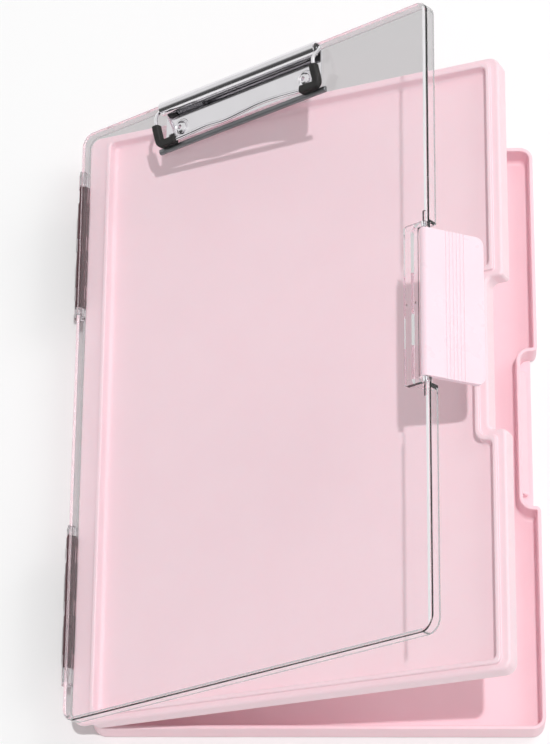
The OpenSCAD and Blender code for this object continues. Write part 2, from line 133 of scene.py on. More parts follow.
# 1 outside a round patch of the sky and patchLevel inside it, eased between the two cosines of
# patchWide, where the cosine is that of the angle to the patch's middle
def skyPatch(tree):
    toward = tree.nodes.new("ShaderNodeTexCoord").outputs["Generated"]
    dot = tree.nodes.new("ShaderNodeVectorMath")
    dot.operation = "DOT_PRODUCT"
    dot.inputs[1].default_value = Vector(light["patchTo"]).normalized()
    tree.links.new(toward, dot.inputs[0])
    ease = tree.nodes.new("ShaderNodeMapRange")
    ease.interpolation_type = "SMOOTHSTEP"
    ease.inputs["From Min"].default_value = light["patchWide"][0]
    ease.inputs["From Max"].default_value = light["patchWide"][1]
    ease.inputs["To Min"].default_value = 1.0
    ease.inputs["To Max"].default_value = light["patchLevel"]
    tree.links.new(dot.outputs["Value"], ease.inputs["Value"])
    return ease.outputs["Result"]


# Sky: one even level for light, white for the camera, white with the patch for reflections, and
# a pale grey through plastic, which is painted shade
def makeSky():
    world = bpy.data.worlds.new("sky")
    bpy.context.scene.world = world
    world.use_nodes = True
    tree = world.node_tree
    tree.nodes.clear()
    out = tree.nodes.new("ShaderNodeOutputWorld")
    back = tree.nodes.new("ShaderNodeBackground")
    direct, mirrored, through = lookingRays(tree)
    level = mathNode(tree, "MULTIPLY_ADD", direct, 1 - light["sky"], light["sky"])
    lift = mathNode(tree, "SUBTRACT", skyPatch(tree), light["sky"])
    level = mathNode(tree, "ADD", level, mathNode(tree, "MULTIPLY", mirrored, lift))
    level = mathNode(tree, "MULTIPLY_ADD", through, light["throughPlastic"] - light["sky"], level)
    tree.links.new(level, back.inputs["Strength"])
    tree.links.new(back.outputs["Background"], out.inputs["Surface"])


# White floor: plain diffuse for the light on the object, with a faint glow added for the camera
# and for reflections. Through plastic its colour is a pale grey, painted shade that makes the clear lid
# look grey
def makeFloor():
    half, drop = light["floorHalf"], light["floorDrop"]
    mesh = bpy.data.meshes.new("floor")
    corners = [(x * half, y * half, -drop) for x, y in ((-1, -1), (1, -1), (1, 1), (-1, 1))]
    mesh.from_pydata(corners, [], [(0, 1, 2, 3)])
    floor = bpy.data.objects.new("floor", mesh)
    bpy.context.collection.objects.link(floor)
    mat = bpy.data.materials.new("floorWhite")
    mat.use_nodes = True
    tree = mat.node_tree
    tree.nodes.clear()
    out = tree.nodes.new("ShaderNodeOutputMaterial")
    diffuse = tree.nodes.new("ShaderNodeBsdfDiffuse")
    glow = tree.nodes.new("ShaderNodeEmission")
    add = tree.nodes.new("ShaderNodeAddShader")
    direct, mirrored, through = lookingRays(tree)
    white = light["floorWhite"]
    level = mathNode(tree, "MULTIPLY_ADD", through, light["throughPlastic"] - white, white)
    tree.links.new(level, diffuse.inputs["Color"])
    seen = mathNode(tree, "ADD", direct, mirrored)
    tree.links.new(mathNode(tree, "MULTIPLY", seen, light["floorLift"]), glow.inputs["Strength"])
    tree.links.new(diffuse.outputs[0], add.inputs[0])
    tree.links.new(glow.outputs[0], add.inputs[1])
    tree.links.new(add.outputs[0], out.inputs["Surface"])
    mesh.materials.append(mat)


makeLights()
makeSky()
makeFloor()
bpy.context.scene.view_settings.view_transform = "Standard"
print("camera, lights, sky and floor made")


# Colour from screen values 0-255 to the linear values that shaders take
def fromScreen(red, green, blue):
    level = np.array((red, green, blue)) / 255
    linear = np.where(level <= 0.04045, level / 12.92, ((level + 0.055) / 1.055) ** 2.4)
    return (*linear.tolist(), 1.0)


# Empty shader group with its sockets: each input is (name, type, value)
def newGroup(name, inputs, outputs):
    group = bpy.data.node_groups.new(name, "ShaderNodeTree")
    for label, kind, value in inputs:
        socket = group.interface.new_socket(label, in_out="INPUT", socket_type="NodeSocket" + kind)
        socket.default_value = value
    for label, kind in outputs:
        group.interface.new_socket(label, in_out="OUTPUT", socket_type="NodeSocket" + kind)
    return group, group.nodes.new("NodeGroupInput"), group.nodes.new("NodeGroupOutput")


# Noise node on a vector, with its detail and roughness as plain numbers
def noise(tree, vector, scale, detail=2.0, roughness=0.5):
    node = tree.nodes.new("ShaderNodeTexNoise")
    node.inputs["Detail"].default_value = detail
    node.inputs["Roughness"].default_value = roughness
    tree.links.new(vector, node.inputs["Vector"])
    if isinstance(scale, (int, float)):
        node.inputs["Scale"].default_value = scale
    else:
        tree.links.new(scale, node.inputs["Scale"])
    return node.outputs["Fac"]


# Moulded plastic: a fine spark-eroded grain as height, with a slow wave of the sheet under it
def mouldedGrainGroup():
    group, start, end = newGroup("mouldedGrain", [
        ("Vector", "Vector", (0, 0, 0)), ("Grain Scale", "Float", 2400.0),
        ("Wave Scale", "Float", 14.0), ("Wave", "Float", 0.5)], [("Height", "Float")])
    grain = noise(group, start.outputs["Vector"], start.outputs["Grain Scale"], detail=3.0,
                  roughness=0.6)
    wave = noise(group, start.outputs["Vector"], start.outputs["Wave Scale"], detail=1.0,
                 roughness=0.4)
    slow = mathNode(group, "MULTIPLY", wave, start.outputs["Wave"])
    group.links.new(mathNode(group, "ADD", grain, slow), end.inputs["Height"])
    return group


# Handling: dull smudges from a slow noise and small dull specks from a fast one, put out as a
# roughness between the clean and the dull value. Each mask is noise * gain + shift, from 0 to 1
def handlingGroup(smudgeGain=2.2, smudgeShift=-0.7, speckGain=9.0, speckShift=-6.3, speckShare=0.6):
    group, start, end = newGroup("handling", [
        ("Vector", "Vector", (0, 0, 0)), ("Clean", "Float", 0.3), ("Dull", "Float", 0.5),
        ("Smudge Scale", "Float", 28.0), ("Speck Scale", "Float", 900.0)],
        [("Roughness", "Float"), ("Dust", "Float")])
    smudge = noise(group, start.outputs["Vector"], start.outputs["Smudge Scale"], detail=4.0,
                   roughness=0.6)
    speck = noise(group, start.outputs["Vector"], start.outputs["Speck Scale"], detail=1.0)
    broad = mathNode(group, "MULTIPLY_ADD", smudge, smudgeGain, smudgeShift, clamp=True)
    dots = mathNode(group, "MULTIPLY_ADD", speck, speckGain, speckShift, clamp=True)
    both = mathNode(group, "MULTIPLY_ADD", dots, speckShare, broad, clamp=True)
    span = mathNode(group, "SUBTRACT", start.outputs["Dull"], start.outputs["Clean"])
    rough = mathNode(group, "MULTIPLY_ADD", both, span, start.outputs["Clean"])
    group.links.new(rough, end.inputs["Roughness"])
    group.links.new(dots, end.inputs["Dust"])
    return group


# Rubbed edges: strength * (1 - n.m), where n is the true normal and m the one rounded over a
# small radius, in metres
def edgeRubGroup(radius=0.0005, samples=4):
    group, start, end = newGroup("edgeRub", [("Strength", "Float", 1.0)], [("Mask", "Float")])
    bevel = group.nodes.new("ShaderNodeBevel")
    bevel.samples = samples
    bevel.inputs["Radius"].default_value = radius
    geometry = group.nodes.new("ShaderNodeNewGeometry")
    dot = group.nodes.new("ShaderNodeVectorMath")
    dot.operation = "DOT_PRODUCT"
    group.links.new(bevel.outputs["Normal"], dot.inputs[0])
    group.links.new(geometry.outputs["Normal"], dot.inputs[1])
    lean = mathNode(group, "SUBTRACT", 1.0, dot.outputs["Value"])
    mask = mathNode(group, "MULTIPLY", lean, start.outputs["Strength"], clamp=True)
    group.links.new(mask, end.inputs["Mask"])
    return group


# Drawn or brushed metal: noise stretched along one axis, as height and as roughness
def brushedGroup():
    group, start, end = newGroup("brushed", [
        ("Vector", "Vector", (0, 0, 0)), ("Stretch", "Vector", (30, 2600, 2600)),
        ("Smooth", "Float", 0.1), ("Rough", "Float", 0.25)],
        [("Height", "Float"), ("Roughness", "Float")])
    stretch = group.nodes.new("ShaderNodeVectorMath")
    stretch.operation = "MULTIPLY"
    group.links.new(start.outputs["Vector"], stretch.inputs[0])
    group.links.new(start.outputs["Stretch"], stretch.inputs[1])
    lines = noise(group, stretch.outputs["Vector"], 1.0, detail=3.0, roughness=0.6)
    span = mathNode(group, "SUBTRACT", start.outputs["Rough"], start.outputs["Smooth"])
    rough = mathNode(group, "MULTIPLY_ADD", lines, span, start.outputs["Smooth"])
    group.links.new(lines, end.inputs["Height"])
    group.links.new(rough, end.inputs["Roughness"])
    return group


mouldedGrain = mouldedGrainGroup()
handling = handlingGroup()
edgeRub = edgeRubGroup()
brushed = brushedGroup()


# New material, with its node tree, its Principled shader and the object coordinates
def newMaterial(name):
    mat = bpy.data.materials.new(name)
    mat.use_nodes = True
    tree = mat.node_tree
    shader = tree.nodes["Principled BSDF"]
    coords = tree.nodes.new("ShaderNodeTexCoord").outputs["Object"]
    return mat, tree, shader, coords


# Shader group placed in a tree. Each value is a number or a link for the socket of that name, in
# which _ stands for a space
def placeGroup(tree, group, **values):
    node = tree.nodes.new("ShaderNodeGroup")
    node.node_tree = group
    for label, value in values.items():
        socket = node.inputs[label.replace("_", " ")]
        if hasattr(value, "is_linked"):
            tree.links.new(value, socket)
        else:
            socket.default_value = value
    return node


# Base colour that drifts between two close tones, and pales towards a third at rubbed edges
def tonedColour(tree, coords, deep, pale, edge, scale=35.0, rub=2.0):
    tone = tree.nodes.new("ShaderNodeMix")
    tone.data_type = "RGBA"
    tone.inputs["A"].default_value = deep
    tone.inputs["B"].default_value = pale
    tree.links.new(noise(tree, coords, scale, detail=3.0, roughness=0.55), tone.inputs["Factor"])
    rubbed = tree.nodes.new("ShaderNodeMix")
    rubbed.data_type = "RGBA"
    rubbed.inputs["B"].default_value = edge
    tree.links.new(tone.outputs["Result"], rubbed.inputs["A"])
    mask = placeGroup(tree, edgeRub, Strength=rub)
    tree.links.new(mask.outputs["Mask"], rubbed.inputs["Factor"])
    return rubbed.outputs["Result"]


# Bump from a height, of which 1 stands for the distance in metres
def linkBump(tree, shader, height, strength, distance):
    bump = tree.nodes.new("ShaderNodeBump")
    bump.inputs["Strength"].default_value = strength
    bump.inputs["Distance"].default_value = distance
    tree.links.new(height, bump.inputs["Height"])
    tree.links.new(bump.outputs["Normal"], shader.inputs["Normal"])


# What all moulded plastic shares: its refractive index, the depth of its grain in metres, and how
# far light goes under its surface, in metres and as shares of that for red, green and blue
moulded = {"ior": 1.49, "grainDepth": 0.00004, "glowReach": 0.0015, "glowShares": (1.0, 0.45, 0.5)}


# Satin or gloss moulded plastic in one colour family
def plasticMaterial(name, look):
    mat, tree, shader, coords = newMaterial(name)
    colour = tonedColour(tree, coords, fromScreen(*look["deep"]), fromScreen(*look["pale"]),
                         fromScreen(*look["edge"]))
    tree.links.new(colour, shader.inputs["Base Color"])
    touch = placeGroup(tree, handling, Vector=coords, Clean=look["clean"], Dull=look["dull"])
    tree.links.new(touch.outputs["Roughness"], shader.inputs["Roughness"])
    grain = placeGroup(tree, mouldedGrain, Vector=coords, Grain_Scale=look["grain"],
                       Wave=look["wave"])
    linkBump(tree, shader, grain.outputs["Height"], look["bump"], moulded["grainDepth"])
    shader.inputs["IOR"].default_value = moulded["ior"]
    shader.inputs["Specular IOR Level"].default_value = look.get("shine", 0.5)
    if "glow" in look:
        shader.inputs["Subsurface Weight"].default_value = look["glow"]
        shader.inputs["Subsurface Radius"].default_value = moulded["glowShares"]
        shader.inputs["Subsurface Scale"].default_value = moulded["glowReach"]
    return mat


# Colours as screen values, roughness from clean to dull, and the grain in noise steps per metre
plasticLooks = {
    "casePink": {"deep": (251, 211, 220), "pale": (253, 216, 224), "edge": (255, 230, 237),
                 "clean": 0.34, "dull": 0.46, "grain": 2600.0, "wave": 0.5, "bump": 0.35, "glow": 0.15},
    "trayPink": {"deep": (250, 217, 225), "pale": (252, 223, 230), "edge": (255, 236, 242),
                 "clean": 0.32, "dull": 0.44, "grain": 2600.0, "wave": 0.5, "bump": 0.3, "glow": 0.15},
    "latchPink": {"deep": (245, 216, 226), "pale": (247, 220, 230), "edge": (253, 240, 246),
                  "clean": 0.24, "dull": 0.36, "grain": 2200.0, "wave": 0.8, "bump": 0.25, "glow": 0.2},
    # Painted shade: the tray's knuckles in a greyer, darker pink than the tray, for the shade they lie in
    # under the clear lid
    "hingePink": {"deep": (203, 168, 177), "pale": (214, 181, 189), "edge": (236, 210, 216),
                  "clean": 0.3, "dull": 0.45, "grain": 2400.0, "wave": 0.8, "bump": 0.3},
    "hingeMaroon": {"deep": (58, 28, 34), "pale": (82, 44, 50), "edge": (158, 116, 124),
                    "clean": 0.35, "dull": 0.5, "grain": 2400.0, "wave": 0.8, "bump": 0.35, "shine": 0.25},
    "bushBlack": {"deep": (40, 40, 41), "pale": (54, 54, 55), "edge": (84, 84, 86),
                  "clean": 0.4, "dull": 0.6, "grain": 2400.0, "wave": 0.5, "bump": 0.35},
    "gripRubber": {"deep": (21, 20, 20), "pale": (33, 32, 31), "edge": (58, 56, 55),
                   "clean": 0.55, "dull": 0.75, "grain": 1800.0, "wave": 0.3, "bump": 0.6},
    # Painted highlight: an opaque near-white finish on the lid's strip over its right wall, where light
    # gathers in the clear wall
    "lidEdgePaintedHighlight": {"deep": (240, 239, 242), "pale": (250, 249, 251), "edge": (255, 255, 255),
                  "clean": 0.12, "dull": 0.25, "grain": 300.0, "wave": 1.0, "bump": 0.1},
}


# Polished or dull metal with fine lines along one axis, whose depth is in metres
def metalMaterial(name, look, lineDepth=0.00002):
    mat, tree, shader, coords = newMaterial(name)
    colour = tonedColour(tree, coords, fromScreen(*look["deep"]), fromScreen(*look["pale"]),
                         fromScreen(*look["edge"]), scale=60.0, rub=1.5)
    tree.links.new(colour, shader.inputs["Base Color"])
    lines = placeGroup(tree, brushed, Vector=coords, Stretch=look["stretch"],
                       Smooth=look["smooth"], Rough=look["rough"])
    tree.links.new(lines.outputs["Roughness"], shader.inputs["Roughness"])
    linkBump(tree, shader, lines.outputs["Height"], look["bump"], lineDepth)
    shader.inputs["Metallic"].default_value = 1.0
    return mat


metalLooks = {
    "clipChrome": {"deep": (231, 229, 232), "pale": (241, 239, 242), "edge": (250, 249, 251),
                   "smooth": 0.07, "rough": 0.16, "stretch": (40, 2200, 2200), "bump": 0.08},
    "jawNickel": {"deep": (120, 121, 123), "pale": (142, 143, 146), "edge": (186, 187, 190),
                  "smooth": 0.3, "rough": 0.5, "stretch": (60, 2600, 2600), "bump": 0.2},
    "pinSteel": {"deep": (184, 184, 188), "pale": (204, 204, 208), "edge": (228, 228, 231),
                 "smooth": 0.18, "rough": 0.34, "stretch": (2400, 60, 2400), "bump": 0.15},
}

clearLook = {"tint": (255, 254, 255), "haze": (246, 244, 246), "clean": 0.015, "dull": 0.06,
             "shade": (254, 254, 254), "smudge": 22.0, "grain": 300.0, "wave": 1.0,
             "bump": 0.02, "grainDepth": 0.00005}


# Clear polystyrene: refracts for what is seen. For shadow rays, and for rays that come from a
# matt surface, it is plainly see-through, so that the light under it is counted once
def clearMaterial(name):
    mat, tree, shader, coords = newMaterial(name)
    tone = tree.nodes.new("ShaderNodeMix")
    tone.data_type = "RGBA"
    tone.inputs["A"].default_value = fromScreen(*clearLook["tint"])
    tone.inputs["B"].default_value = fromScreen(*clearLook["haze"])
    touch = placeGroup(tree, handling, Vector=coords, Clean=clearLook["clean"],
                       Dull=clearLook["dull"], Smudge_Scale=clearLook["smudge"])
    tree.links.new(touch.outputs["Dust"], tone.inputs["Factor"])
    tree.links.new(tone.outputs["Result"], shader.inputs["Base Color"])
    tree.links.new(touch.outputs["Roughness"], shader.inputs["Roughness"])
    grain = placeGroup(tree, mouldedGrain, Vector=coords, Grain_Scale=clearLook["grain"],
                       Wave=clearLook["wave"])
    linkBump(tree, shader, grain.outputs["Height"], clearLook["bump"], clearLook["grainDepth"])
    shader.inputs["IOR"].default_value = moulded["ior"]
    shader.inputs["Transmission Weight"].default_value = 1.0
    through = tree.nodes.new("ShaderNodeBsdfTransparent")
    through.inputs["Color"].default_value = fromScreen(*clearLook["shade"])
    path = tree.nodes.new("ShaderNodeLightPath")
    mix = tree.nodes.new("ShaderNodeMixShader")
    matt = mathNode(tree, "GREATER_THAN", path.outputs["Diffuse Depth"], 0.5)
    tree.links.new(mathNode(tree, "MAXIMUM", path.outputs["Is Shadow Ray"], matt), mix.inputs["Fac"])
    tree.links.new(shader.outputs["BSDF"], mix.inputs[1])
    tree.links.new(through.outputs["BSDF"], mix.inputs[2])
    tree.links.new(mix.outputs["Shader"], tree.nodes["Material Output"].inputs["Surface"])
    return mat


materials = {name: plasticMaterial(name, look) for name, look in plasticLooks.items()}
materials.update({name: metalMaterial(name, look) for name, look in metalLooks.items()})
materials["clearPlastic"] = clearMaterial("clearPlastic")
print("materials made:", len(materials))

# Finish of the nodes that are shown as they are, or under the pieces below
nodeFinish = {
    "base_case": "casePink", "base_hinge_upper": "hingeMaroon", "base_hinge_lower": "hingeMaroon",
    "hinge_pin_upper": "pinSteel", "hinge_pin_lower": "pinSteel", "middle_tray": "trayPink",
    "tray_hinge_upper": "hingePink", "tray_hinge_lower": "hingePink",
    "clear_lid": "clearPlastic", "lid_hinge_upper": "hingeMaroon", "lid_hinge_lower": "hingeMaroon",
    "latch_flap": "latchPink", "latch_pin": "pinSteel", "clip_plate": "clipChrome",
    "clip_rivets": "clipChrome", "clip_washers": "pinSteel", "clip_bushes": "bushBlack",
    "clip_spring": "pinSteel", "clip_wire": "clipChrome", "clip_jaw": "jawNickel",
    "clip_grip_left": "gripRubber", "clip_grip_right": "gripRubber",
}
for name, finish in nodeFinish.items():
    for place in nodes[name].material_slots:
        place.material = materials[finish]
print("finishes put on", len(nodeFinish), "nodes")


# Every piece is built closed, in mm, and then turned as the case stands open: each body by the
# angles, in degrees, about the lines along Y that its chain names, from the inmost outwards
hinges = {"tray": (23.5, -122.7, 18.2), "lid": (15.5, -128.7, 23.2), "latch": (25, 116, 32.6)}
chains = {"base": (), "tray": ("tray",), "lid": ("lid", "tray"), "latch": ("latch", "lid", "tray"),
          "jaw": ("lid", "tray")}


# Turning by a: x' = x cos a - z sin a and z' = x sin a + z cos a, measured from the hinge line
def turned(points, body):
    for name in chains[body]:
        angle, hingeX, hingeZ = hinges[name]
        x, z = points[:, 0] - hingeX, points[:, 2] - hingeZ
        c, s = cos(radians(angle)), sin(radians(angle))
        points = np.column_stack((hingeX + x * c - z * s, points[:, 1], hingeZ + x * s + z * c))
    return points


# Arc of a corner: centre + r (cos a, sin a), with a running evenly from one angle to the other
def arc(centre, r, start, end, steps):
    a = np.radians(np.linspace(start, end, steps + 1))
    return np.column_stack((centre[0] + r * np.cos(a), centre[1] + r * np.sin(a)))


# Outline of a case wall, counterclockwise: four outer corners of radius r, and on the right a
# recess back to voidX over +-voidHalf, with inner corners of voidR and a mouth rounded by mouthR.
# No radius goes below leastR
def caseLoop(wall, steps=8, leastR=0.03):
    right, left, halfL, voidX, voidHalf = (wall[key] for key in
                                           ("right", "left", "halfL", "voidX", "voidHalf"))
    r, voidR, mouthR = (max(wall[key], leastR) for key in ("r", "voidR", "mouthR"))
    voidR = min(voidR, right - mouthR - voidX)    # a wider corner would cross the mouth
    low = [arc((right - r, -halfL + r), r, -90, 0, steps),
           arc((right - mouthR, -voidHalf - mouthR), mouthR, 0, 90, steps),
           arc((voidX + voidR, -voidHalf + voidR), voidR, 270, 180, steps)]
    high = [part[::-1] * (1, -1) for part in low[::-1]]
    ends = [arc((left + r, halfL - r), r, 90, 180, steps),
            arc((left + r, -halfL + r), r, 180, 270, steps)]
    return np.vstack(low + high + ends)


# Outline at one height, as a ring
def atHeight(loop, z):
    return np.column_stack((loop, np.full(len(loop), z)))


# The same wall moved in by d: outer sides and convex radii shrink by d, and the recess grows by d
def insetWall(wall, d):
    sign = {"right": -1, "left": 1, "halfL": -1, "voidX": -1, "voidHalf": 1,
            "r": -1, "voidR": 1, "mouthR": -1}
    return {key: value + sign[key] * d for key, value in wall.items()}


# Profile with round corners. A corner of radius r between two edges that open by 2h has its
# centre r / sin h along the bisector, and its arc meets each edge r / tan h from the corner
def roundProfile(corners, steps=5):
    points = np.array([corner[:2] for corner in corners], float)
    rows = [points[:1]]
    for place in range(1, len(corners) - 1):
        r = corners[place][2]
        if r == 0:
            rows.append(points[place:place + 1])
            continue
        here = points[place]
        back = (points[place - 1] - here) / np.linalg.norm(points[place - 1] - here)
        ahead = (points[place + 1] - here) / np.linalg.norm(points[place + 1] - here)
        half = 0.5 * np.arccos(np.clip(back @ ahead, -1, 1))
        bisector = (back + ahead) / np.linalg.norm(back + ahead)
        centre = here + bisector * r / np.sin(half)
        first = here + back * r / np.tan(half) - centre
        last = here + ahead * r / np.tan(half) - centre
        t = np.linspace(0, 1, steps + 1)[:, None]
        span = pi - 2 * half
        rows.append(centre + (first * np.sin((1 - t) * span) + last * np.sin(t * span)) / np.sin(span))
    rows.append(points[-1:])
    return np.vstack(rows)


# Corners and faces of a skin through rings of equal length: a quad for each step along and
# round, and a flat cap at each end. A closed skin joins the last ring to the first instead
def skin(rings, closed=False):
    rings = np.asarray(rings, float)
    count, around = rings.shape[:2]
    steps = count if closed else count - 1
    i = np.arange(steps)[:, None] * around
    j = ((np.arange(steps) + 1) % count)[:, None] * around
    k = np.arange(around)[None, :]
    n = (k + 1) % around
    faces = np.stack((i + k, i + n, j + n, j + k), axis=-1).reshape(-1, 4).tolist()
    if not closed:
        faces.append(list(range(around))[::-1])
        faces.append(list(range((count - 1) * around, count * around)))
    return rings.reshape(-1, 3), faces


# Outline in one plane carried along Y from one end to the other, with the ends rounded by e:
# each end ring is the outline shrunk about its middle
def alongY(outline, y0, y1, e):
    outline = np.asarray(outline, float)
    middle = outline.mean(axis=0)
    reach = np.linalg.norm(outline - middle, axis=1).min()
    rings = []
    for y, shrink in ((y0, e), (y0 + e, 0), (y1 - e, 0), (y1, e)):
        flat = middle + (outline - middle) * (1 - shrink / reach)
        rings.append(np.column_stack((flat[:, 0], np.full(len(flat), y), flat[:, 1])))
    return skin(rings)


# Round box: a rectangle with corners of radius r, moved in by d at each height z, where d and z
# run along a side whose edges are rounded by e above and below. No corner goes below leastR
def roundBox(x0, x1, y0, y1, z0, z1, r, e, leastR=0.02):
    rings = []
    for d, z in roundProfile([(e, z0, 0), (0, z0, e * 0.99), (0, z1, e * 0.99), (e, z1, 0)], 3):
        c = max(r - d, leastR)
        low, high = (x0 + d + c, y0 + d + c), (x1 - d - c, y1 - d - c)
        spots = (high, (low[0], high[1]), low, (high[0], low[1]))
        loop = [arc(spot, c, 90 * turn, 90 * turn + 90, 4) for turn, spot in enumerate(spots)]
        rings.append(atHeight(np.vstack(loop), z))
    return skin(rings)


# Smooth line through control points: on each span the cubic
# (2b + (c - a) t + (2a - 5b + 4c - d) t^2 + (3b - a - 3c + d) t^3) / 2 of the four round it
def smoothLine(points, steps):
    points = np.asarray(points, float)
    padded = np.vstack((points[:1], points, points[-1:]))
    a, b, c, d = (padded[k:len(padded) - 3 + k, None] for k in range(4))
    t = np.linspace(0, 1, steps, endpoint=False)[None, :, None]
    line = 0.5 * (2 * b + (c - a) * t + (2 * a - 5 * b + 4 * c - d) * t**2
                  + (3 * b - a - 3 * c + d) * t**3)
    return np.vstack((line.reshape(-1, 3), points[-1:]))


# Tube along a line: each ring lies square to the line's direction T, spanned by the level side
# T x up and by side x T. Its outline is half * (|cos a|^(2/n), |sin a|^(2/n)) with their signs,
# which is round at a power n of 2 and squarer above that
def tube(line, half, around, power=2.0, up=(0, 0, 1)):
    heading = np.gradient(line, axis=0)
    heading /= np.linalg.norm(heading, axis=1)[:, None]
    side = np.cross(heading, up)
    side /= np.linalg.norm(side, axis=1)[:, None]
    top = np.cross(side, heading)
    a = np.linspace(0, 2 * pi, around, endpoint=False)
    across = np.sign(np.cos(a)) * np.abs(np.cos(a)) ** (2 / power)
    above = np.sign(np.sin(a)) * np.abs(np.sin(a)) ** (2 / power)
    half = np.broadcast_to(half, len(line))[:, None, None]
    rings = (line[:, None] + half * across[None, :, None] * side[:, None]
             + half * above[None, :, None] * top[:, None])
    return skin(rings)


# Ring profile turned about the Z axis through a point: x = r cos a, y = r sin a
def revolve(profile, centre, around=48):
    profile = np.asarray(profile, float)
    a = np.linspace(0, 2 * pi, around, endpoint=False)
    rings = np.stack((centre[0] + profile[:, :1] * np.cos(a), centre[1] + profile[:, :1] * np.sin(a),
                      np.broadcast_to(profile[:, 1:2] + centre[2], (len(profile), around))), axis=-1)
    return skin(rings, closed=True)


# One object from several skins, turned to where its body stands, in metres, and tidied
def makePiece(name, parts, body, finish, replaced=(), sharp=38):
    points, faces, start = [], [], 0
    for corners, polygons in parts:
        points.append(corners)
        faces += [[start + corner for corner in polygon] for polygon in polygons]
        start += len(corners)
    mesh = bpy.data.meshes.new(name)
    mesh.from_pydata(turned(np.vstack(points), body) * mm, [], faces)
    tidyMesh(mesh, sharp)
    return finishPiece(name, mesh, body, finish, replaced)


# Merges corners within 0.045 mm, drops faces without area, points all faces outwards, and keeps
# edges over the sharp angle, in degrees, under smooth shading
def tidyMesh(mesh, sharp, near=4.5e-5, flat=1e-6):
    work = bmesh.new()
    work.from_mesh(mesh)
    bmesh.ops.remove_doubles(work, verts=work.verts, dist=near)
    bmesh.ops.dissolve_degenerate(work, edges=work.edges, dist=flat)
    bmesh.ops.recalc_face_normals(work, faces=work.faces)
    work.to_mesh(mesh)
    work.free()
    mesh.shade_smooth()
    mesh.set_sharp_from_angle(angle=radians(sharp))


# Limits of the softened copies: how near two corners are one, in metres, and in degrees how flat
# joined triangles are, and over what an edge is kept sharp or takes a bevel
soften = {"near": 2e-6, "flat": 0.6, "sharp": 32, "bevelFrom": 35, "segments": 2}


# Object of a mesh, with one finish or several, riding on its body. With a rounding, in mm, its
# edges get a small bevel first
def finishPiece(name, mesh, body, finish, replaced=(), rounding=None):
    obj = bpy.data.objects.new(name, mesh)
    bpy.context.collection.objects.link(obj)
    for label in ([finish] if isinstance(finish, str) else finish):
        mesh.materials.append(materials[label])
    if rounding:
        bevel = obj.modifiers.new("bevel", "BEVEL")
        bevel.width = rounding * mm
        bevel.segments = soften["segments"]
        bevel.limit_method = "ANGLE"
        bevel.angle_limit = radians(soften["bevelFrom"])
    weigh = obj.modifiers.new("weigh", "WEIGHTED_NORMAL")
    weigh.keep_sharp = not rounding
    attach(obj, body)
    if replaced:
        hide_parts(*replaced)
    return obj


# Copy of a CAD node with its doubles merged, its flat triangles joined and its edges rounded, so
# that they catch the light as moulded edges do. Each cut is a plane, by a point in mm and a normal
def softenedCopy(node, body, finish, rounding, cuts=()):
    mesh = nodes[node].data.copy()
    mesh.name = node + "Soft"
    mesh.materials.clear()
    mesh.transform(nodes[node].matrix_world)
    work = bmesh.new()
    work.from_mesh(mesh)
    bmesh.ops.remove_doubles(work, verts=work.verts, dist=soften["near"])
    bmesh.ops.dissolve_limit(work, angle_limit=radians(soften["flat"]), verts=work.verts,
                             edges=work.edges)
    for at, square in cuts:
        bmesh.ops.bisect_plane(work, geom=work.verts[:] + work.edges[:] + work.faces[:],
                               plane_co=Vector(at) * mm, plane_no=square)
    bmesh.ops.recalc_face_normals(work, faces=work.faces)
    work.to_mesh(mesh)
    work.free()
    mesh.shade_smooth()
    mesh.set_sharp_from_angle(angle=radians(soften["sharp"]))
    return finishPiece(node + "Soft", mesh, body, finish, [node], rounding)


# Wall of the base: right and left sides, half length, corner radii and the latch's recess
base = {
    "wall": {"right": 118.5, "left": -118.5, "halfL": 169, "r": 7,
             "voidX": 109, "voidHalf": 45, "voidR": 5.5, "mouthR": 3},
    # Section of the wall as distance in, height and rounding, from the underside to the floor
    "section": [(6, 0, 0), (0, 0, 1.1), (0, 15.4, 0.75), (2.2, 15.4, 0.7), (2.3, 1.8, 2.4), (7, 1.8, 0)],
    # Floor under the latch's recess, as a round box: x, y and z from and to, radius and rounding
    "floorLip": (107, 115.2, -45.8, 45.8, 0.05, 1.78, 1.2, 0.35),
    # Catch for the latch, as an outline in x and z with roundings, and its reach along Y
    "catchHalf": 36, "catchEnds": 0.5,
    "catch": [(108.6, 6.2, 0), (112.5, 6.2, 0.3), (112.5, 7.2, 0.3), (108.6, 10.7, 0)],
}


# The wall's section carried round the outline: each section point is a ring moved in by its distance
def makeBase():
    rings = []
    for d, z in roundProfile(base["section"]):
        loop = caseLoop(insetWall(base["wall"], d))
        rings.append(atHeight(loop, z))
    half = base["catchHalf"]
    parts = [skin(rings), roundBox(*base["floorLip"]),
             alongY(roundProfile(base["catch"], 3), -half, half, base["catchEnds"])]
    makePiece("baseCaseMoulding", parts, "base", "casePink", ["base_case"])


makeBase()
print("base made")


